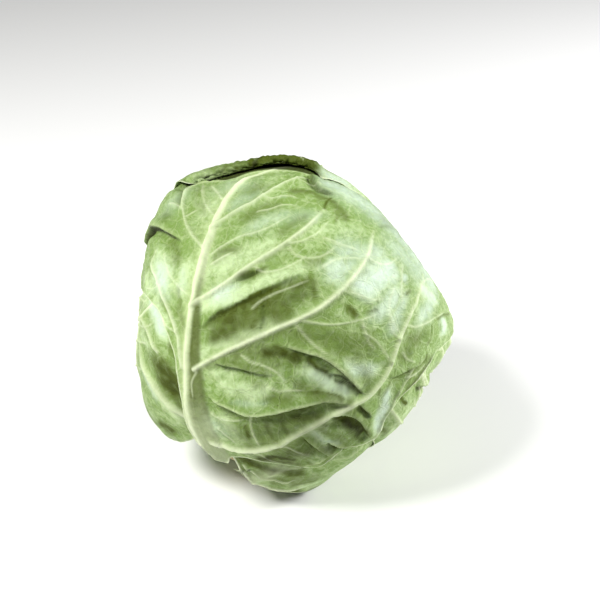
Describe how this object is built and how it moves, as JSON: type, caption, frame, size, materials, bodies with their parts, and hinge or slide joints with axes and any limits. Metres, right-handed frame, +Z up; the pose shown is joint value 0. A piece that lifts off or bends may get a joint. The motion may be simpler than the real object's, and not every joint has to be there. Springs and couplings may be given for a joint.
{
  "type": "white cabbage",
  "caption": "Round head of white cabbage with wrapped outer leaves, a tight inner head and a short cut stem, lying on its side on a small flat spot.",
  "frame": {"origin": "on the small flat spot the head rests on, straight below the middle of the head", "axes": "+Z up, the broad front leaf faces -Y, +X to the right when looking at that leaf; the crown leans back and to the right, and the cut stem is underneath at the front left"},
  "size_m": [0.1678, 0.1637, 0.162],
  "materials": {
    "outer_leaf": "waxy green leaf with pale raised veins, soft sheen",
    "inner_leaf": "pale waxy leaf, soft sheen",
    "stem": "pale fibrous cut stem, matte"
  },
  "bodies": {
    "root": {"back_leaf": "outer_leaf", "front_leaf": "outer_leaf", "right_leaf": "outer_leaf", "left_leaf": "outer_leaf", "lower_leaf": "outer_leaf", "rear_leaf": "outer_leaf", "inner_head": "inner_leaf", "cut_stem": "stem"}
  },
  "joints": []
}
